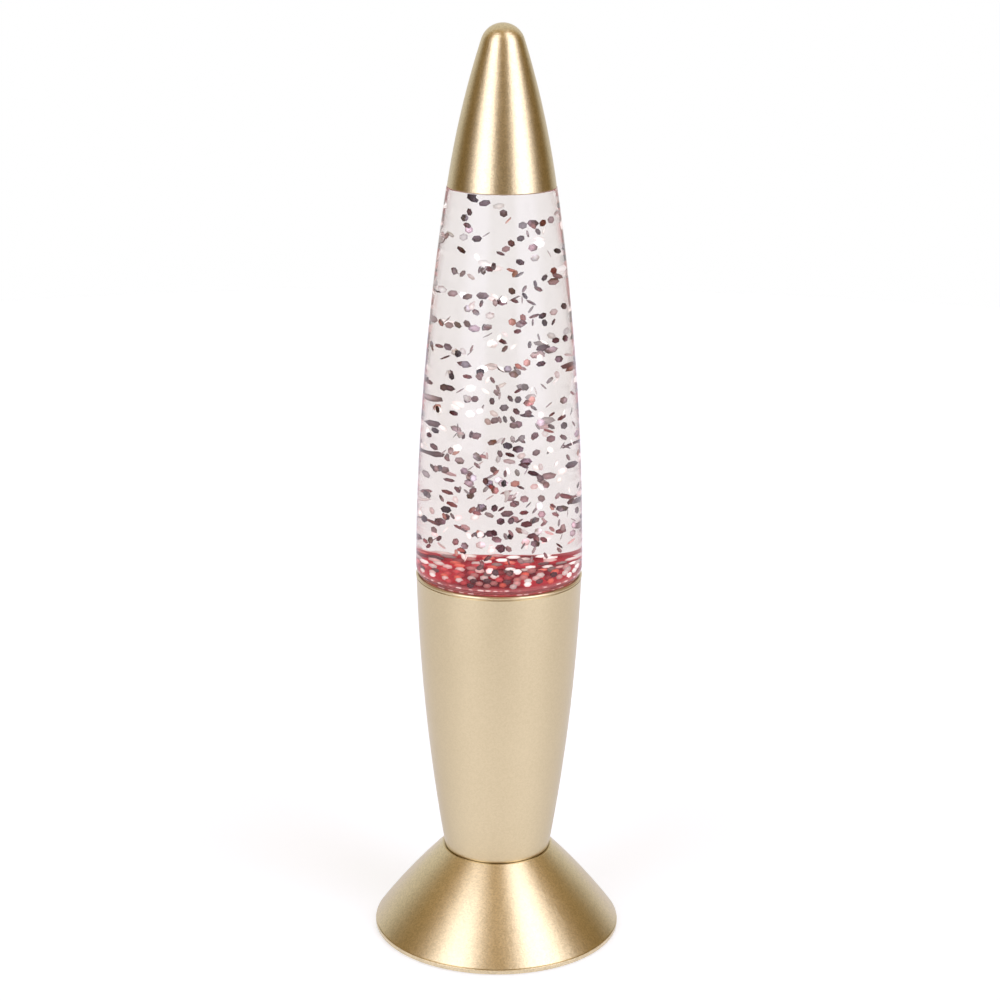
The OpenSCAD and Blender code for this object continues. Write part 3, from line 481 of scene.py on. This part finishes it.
# settled flakes: a sunflower spiral on the floor, with r by the root of the number and turned by the golden angle,
# each leaning its own way
def settledFlakes(g, b, i):
    turn = [partOf(i * t) for t in g["turns"]]
    least, most = g["settledLean"]
    lean = least + (most - least) * turn[0]
    r = (b["radius"] - b["wall"] - g["across"] / 2 - g["clear"]) * np.sqrt((i + 0.5) / g["settled"])
    a = np.radians(g["goldenAngle"] * i)
    z = b["floor"] + g["across"] / 2 * np.sin(np.radians(lean)) + g["thick"]
    way = g["goldenAngle"] * i + 360 * turn[1]
    return np.stack([r * np.cos(a), r * np.sin(a), z], 1), flakeTurn(lean, way, g["corner"] * turn[2])


# one flake is two fans of six triangles and twelve triangles of sides; all flakes of a colour are one mesh
def flakeMesh(g, spots, turns):
    rim = np.radians(g["corner"] * np.arange(6))
    ring = g["across"] / 2 * np.stack([np.cos(rim), np.sin(rim), 0 * rim], 1)
    half = np.array([0, 0, g["thick"] / 2])
    crown = np.array([[0, 0, g["thick"] / 2 + g["dome"]], [0, 0, -g["thick"] / 2 + g["dome"]]])
    one = np.vstack([ring + half, ring - half, crown])
    k, n = np.arange(6), (np.arange(6) + 1) % 6
    tris = np.vstack([np.stack([0 * k + 12, k, n], 1), np.stack([0 * k + 13, n + 6, k + 6], 1),
                      np.stack([k, k + 6, n], 1), np.stack([n, k + 6, n + 6], 1)])
    points = spots[:, None] + np.einsum("fij,pj->fpi", turns, one)
    faces = (np.arange(len(spots))[:, None, None] * len(one) + tris).reshape(-1, 3)
    return points.reshape(-1, 3) * mm, faces.tolist()


# film: scratched, and darker in spots, a painted shade of creases
filmLook = {
    "scratch": 2600, "scratchBump": (0.25, 0.05), "crease": 700, "creaseSize": (0.1, 0.5), "paintedCreaseShade": 0.72,
    "roughness": 0.12, "roughScratch": 0.14,
}


def filmPaint(wire):
    tint = wire.node("Attribute", {"attribute_name": "tint"}, {}, "Color")
    gloss, glow = (wire.node("Attribute", {"attribute_name": name}, {}, "Fac") for name in ("gloss", "glow"))
    scratch = grain(wire, filmLook["scratch"], detail=1)
    crease = cells(wire, filmLook["crease"], "Distance").rise(*filmLook["creaseSize"])
    return {"Base Color": (scratch * 0.5 + crease * 0.5).blend(tint.darker(filmLook["paintedCreaseShade"]), tint),
            "Roughness": filmLook["roughness"] + filmLook["roughScratch"] * scratch,
            "Metallic": gloss,
            # glow: painted light, a glint on a few floating flakes and the light from below on settled ones
            "Emission Color": glow.blend((0, 0, 0), tint),
            "Normal": scratch.bump(*filmLook["scratchBump"])}


film = makeMaterial("metallisedFilm", filmPaint, {"Emission Strength": 1.0})
# how flakes differ: gloss, painted red light and patches, for floating then settled flakes; steps pick in turn
flakeLook = {
    # mid and rim: the painted highlight in the middle of each flake and the painted shade at its rim
    "gloss": ((0.2, 0.9), (0.1, 0.7)), "mid": 1.2, "rim": 0.72, "tone": (0.8, 0.4),
    "paintedRedNear": 14, "paintedRedShare": ((-0.3, 0.28, 0.26), (-0.1, 0.0, 0.0)),
    "patch": (0.0, 0.28), "patchWave": ((0.17, 0.05, 0.6), (-0.06, 0.21, 2.1)), "patchSlope": (0.025, 0.02),
    "tintStep": 0.7549, "toneStep": 0.5698, "glossStep": 29.3, "fanFaces": 12, "sideFaces": 12,
}
# tints and glow of settled flakes, from red to pale, both painted: red light from below and pale highlights
settledTints = [(0.60, 0.08, 0.09, 0.6), (0.36, 0.06, 0.065, 0.5), (0.20, 0.08, 0.09, 0.3), (0.56, 0.22, 0.21, 0.5),
                (0.44, 0.28, 0.27, 0.3), (0.80, 0.15, 0.11, 0.6), (0.70, 0.36, 0.35, 0.5), (0.84, 0.52, 0.50, 0.55),
                (0.92, 0.72, 0.70, 0.6), (0.80, 0.62, 0.60, 0.5), (0.95, 0.83, 0.81, 0.75), (0.98, 0.94, 0.92, 0.9)]
# each colour of glitter: its slot, and the tints and glow of its floating flakes, a painted glint on a few of them
shades = {
    "glitter_silver": ("silver_flake", [(0.25, 0.205, 0.23, 0), (0.54, 0.485, 0.50, 0), (0.86, 0.82, 0.83, 0.3),
                                        (0.13, 0.10, 0.12, 0), (0.68, 0.62, 0.64, 0), (0.40, 0.345, 0.37, 0),
                                        (0.97, 0.94, 0.94, 0.9), (0.32, 0.27, 0.29, 0), (1.0, 0.98, 0.97, 1)]),
    "glitter_rose": ("rose_flake", [(0.38, 0.27, 0.29, 0), (0.64, 0.51, 0.52, 0), (0.22, 0.14, 0.16, 0),
                                    (0.92, 0.83, 0.83, 0.3), (0.53, 0.40, 0.41, 0), (0.60, 0.47, 0.48, 0),
                                    (1.0, 0.95, 0.93, 1), (0.45, 0.34, 0.35, 0), (0.97, 0.92, 0.91, 0.85)]),
    "glitter_red": ("red_flake", [(0.38, 0.215, 0.225, 0), (0.66, 0.49, 0.49, 0), (0.18, 0.09, 0.11, 0),
                                  (0.53, 0.23, 0.20, 0), (0.84, 0.66, 0.65, 0.2), (0.50, 0.325, 0.325, 0),
                                  (0.88, 0.74, 0.72, 0.5), (0.30, 0.17, 0.18, 0), (0.74, 0.38, 0.31, 0.2)]),
}


# painted patches of red light and pale highlight across the floor, about -1 to 1, paler to the right and to the back
def patchOf(spots):
    waves = [np.sin(x * spots[:, 0] + y * spots[:, 1] + start) for x, y, start in flakeLook["patchWave"]]
    return waves[0] * waves[1] + spots[:, :2] @ np.array(flakeLook["patchSlope"])


# each flake is lighter in the middle of its two faces and darker at the rim and sides: painted highlight and shade
paintedCornerShade = np.full((flakeLook["fanFaces"] + flakeLook["sideFaces"], 3), flakeLook["rim"])
paintedCornerShade[:flakeLook["fanFaces"], 0] = flakeLook["mid"]
for first, (node, (slotName, tints)) in enumerate(shades.items()):
    groups = [floatingFlakes(glitter, bottle, np.arange(first, glitter["floating"], len(shades))),
              settledFlakes(glitter, bottle, np.arange(first, glitter["settled"], len(shades)))]
    points, faces = flakeMesh(glitter, *(np.concatenate(pair) for pair in zip(*groups)))
    flakes = makePiece(node + "_flakes", points, faces, film, "filled_bottle", slotName, [node], glitter["sharp"])
    tint, gloss, glow = [], [], []
    looks = zip(groups, (tints, settledTints), flakeLook["gloss"], flakeLook["paintedRedShare"], flakeLook["patch"])
    for (spots, _), palette, (low, high), paintedRedShare, patchShare in looks:
        count, (leastTone, moreTone) = np.arange(len(spots)), flakeLook["tone"]
        part = partOf(count * flakeLook["tintStep"])
        # flakes near the floor are tinted redder: painted red light from the lit floor
        red = np.exp(-(spots[:, 2:] - bottle["floor"]) / flakeLook["paintedRedNear"]) * np.array(paintedRedShare)
        tone = (leastTone + moreTone * partOf(count * flakeLook["toneStep"]))[:, None]
        pick = (part + patchShare * patchOf(spots)).clip(0, 0.999)
        chosen = np.array(palette)[(pick * len(palette)).astype(int)]
        tint.append(chosen[:, :3] * tone * (1 - red))
        gloss.append(low + (high - low) * partOf(part * flakeLook["glossStep"]))
        glow.append(chosen[:, 3])
    tint = np.concatenate(tint)[:, None, None] * paintedCornerShade[..., None]
    colours = np.concatenate([tint.clip(0, 1), np.ones((*tint.shape[:3], 1))], 3)
    layer = flakes.data.attributes.new("tint", "FLOAT_COLOR", "CORNER")
    layer.data.foreach_set("color", colours.ravel())
    for name, values in (("gloss", gloss), ("glow", glow)):
        layer = flakes.data.attributes.new(name, "FLOAT", "FACE")
        layer.data.foreach_set("value", np.repeat(np.concatenate(values), len(paintedCornerShade)))
print("glitter done")


# red floor of the bottle, whose glow is painted light from below, with flakes caught along its rim
plug = {
    "tints": ((0.14, 0.016, 0.022), (0.52, 0.045, 0.058)), "glow": ((0.06, 0.006, 0.009), (0.42, 0.034, 0.044)),
    "patch": 70, "patchRise": (0.35, 0.68), "roughness": 0.3, "rougher": 0.2, "wear": 300,
    "dimple": 240, "dimpleBump": (0.2, 0.3), "flake": 330, "flakeSize": (0.3, 0.55),
    "edge": (28.0, 32.5), "paintedEdgeTint": (0.60, 0.20, 0.20), "paintedEdgeGlow": (0.42, 0.12, 0.123), "edgeShare": 0.6,
    "rim": (31.6, 33.0), "flange": (163.2, 164.2), "caught": (0.92, 0.74, 0.72), "paintedCaughtGlow": (0.6, 0.42, 0.4),
}


def plugPaint(wire):
    patch = grain(wire, plug["patch"]).rise(*plug["patchRise"])
    x, y, z = axes(wire, "XYZ")
    away = wire.math("SQRT", x * x + y * y)
    edge, rim = (away.rise(*(limit * mm for limit in plug[name])) for name in ("edge", "rim"))
    flange = z.rise(*(limit * mm for limit in plug["flange"]))
    # a paler ring near the edge with a brighter glow: painted light
    edge = edge * flange * plug["edgeShare"]
    # the flakes caught along the rim glow too: painted light
    caught = rim * flange * (1 - cells(wire, plug["flake"], "Distance").rise(*plug["flakeSize"]))
    tint = edge.blend(patch.blend(*plug["tints"]), plug["paintedEdgeTint"])
    glow = edge.blend(patch.blend(*plug["glow"]), plug["paintedEdgeGlow"])
    return {"Base Color": caught.blend(tint, plug["caught"]),
            "Roughness": plug["roughness"] + plug["rougher"] * grain(wire, plug["wear"]),
            "Emission Color": caught.blend(glow, plug["paintedCaughtGlow"]),
            "Normal": grain(wire, plug["dimple"]).bump(*plug["dimpleBump"])}


# a plain finish: two tones by a cloud, roughness about a middle, and a moulded or sanded grain
plainLook = {"cloudShare": 0.6, "grainShare": 0.4, "grainBump": 0.35}


def plainPaint(dark, light, cloud, rough, spread, grainScale, depth, stretch=None):
    def paint(wire):
        patch = grain(wire, cloud, detail=3).rise(0.3, 0.7)
        fine = grain(wire, grainScale, stretch=stretch)
        tone = patch * plainLook["cloudShare"] + fine * plainLook["grainShare"]
        return {"Base Color": tone.blend(dark, light),
                "Roughness": rough - spread / 2 + spread * fine,
                "Normal": fine.bump(plainLook["grainBump"], depth)}
    return paint


# finishes of the nodes inside and under the shells: paint, plain values and the nodes that wear them;
# clouds and grain are in turns per metre and the depth of the grain is in millimetres
finishes = {
    "redPlug": (plugPaint, {"Emission Strength": 0.7, "Specular IOR Level": 0.0}, ["bottle_plug"]),
    "redSilicone": (plainPaint((0.42, 0.06, 0.06), (0.62, 0.12, 0.11), 120, 0.4, 0.15, 900, 0.02),
                    {"Coat Weight": 0.3}, ["plug_seal"]),
    "blackRubber": (plainPaint((0.012, 0.012, 0.013), (0.03, 0.03, 0.03), 90, 0.75, 0.2, 1800, 0.06), {},
                    ["rubber_feet"]),
    "softFoam": (plainPaint((0.03, 0.03, 0.03), (0.07, 0.07, 0.07), 120, 0.9, 0.1, 2200, 0.15), {}, ["seat_ring"]),
    "whiteMoulding": (plainPaint((0.70, 0.70, 0.68), (0.80, 0.80, 0.78), 40, 0.45, 0.15, 1500, 0.03), {},
                      ["neck_closure", "light_tray", "closure_liner"]),
    "blackMoulding": (plainPaint((0.012, 0.012, 0.012), (0.03, 0.03, 0.031), 45, 0.55, 0.2, 1500, 0.05), {},
                      ["base_plate", "battery_door", "switch_knob", "control_chip"]),
    "brightReflector": (plainPaint((0.75, 0.75, 0.77), (0.88, 0.88, 0.90), 60, 0.14, 0.08, 900, 0.02),
                        {"Metallic": 1.0}, ["reflector"]),
    "whiteBoard": (plainPaint((0.72, 0.73, 0.70), (0.82, 0.82, 0.80), 80, 0.4, 0.1, 1700, 0.02), {}, ["led_board"]),
    "greenBoard": (plainPaint((0.006, 0.07, 0.025), (0.015, 0.12, 0.045), 130, 0.4, 0.15, 1700, 0.02), {},
                   ["control_board"]),
    "redLens": (plainPaint((0.65, 0.02, 0.015), (0.8, 0.04, 0.03), 200, 0.12, 0.05, 900, 0.01),
                {"Emission Color": (1.0, 0.04, 0.03, 1), "Emission Strength": 3.0, "Coat Weight": 0.5}, ["led_red"]),
    "greenLens": (plainPaint((0.02, 0.38, 0.06), (0.05, 0.5, 0.1), 200, 0.12, 0.05, 900, 0.01),
                  {"Transmission Weight": 0.6, "IOR": 1.52}, ["led_green"]),
    "blueLens": (plainPaint((0.02, 0.06, 0.5), (0.05, 0.1, 0.65), 200, 0.12, 0.05, 900, 0.01),
                 {"Transmission Weight": 0.6, "IOR": 1.52}, ["led_blue"]),
    "zincScrew": (plainPaint((0.42, 0.42, 0.42), (0.60, 0.60, 0.61), 500, 0.32, 0.2, 2400, 0.03),
                  {"Metallic": 1.0}, ["board_screws", "tray_screws", "holder_screws", "base_screws", "door_screw"]),
    "nickelContact": (plainPaint((0.52, 0.50, 0.47), (0.66, 0.65, 0.62), 300, 0.28, 0.15, 2000, 0.02),
                      {"Metallic": 1.0}, ["contact_springs", "contact_plates", "switch_housing"]),
    "tinnedBrass": (plainPaint((0.50, 0.34, 0.10), (0.66, 0.50, 0.20), 400, 0.3, 0.15, 2000, 0.02),
                    {"Metallic": 1.0}, ["switch_terminals"]),
    "cellJacket": (plainPaint((0.02, 0.09, 0.055), (0.035, 0.14, 0.085), 60, 0.3, 0.1, 700, 0.03, (0.2, 1, 1)),
                   {"Coat Weight": 0.3}, ["cell_1", "cell_2", "cell_3"]),
    "redSleeve": (plainPaint((0.38, 0.012, 0.01), (0.52, 0.025, 0.02), 200, 0.42, 0.15, 1800, 0.03), {},
                  ["lead_led_red", "lead_battery_red", "lead_switch_red"]),
    "blackSleeve": (plainPaint((0.01, 0.01, 0.01), (0.025, 0.025, 0.025), 200, 0.42, 0.15, 1800, 0.03), {},
                    ["lead_led_black", "lead_battery_black"]),
}
for finishName, (paint, plain, wearers) in finishes.items():
    made = makeMaterial(finishName, paint, plain)
    for wearer in wearers:
        wear(wearer, made)
print("pieces inside and under the shells done")
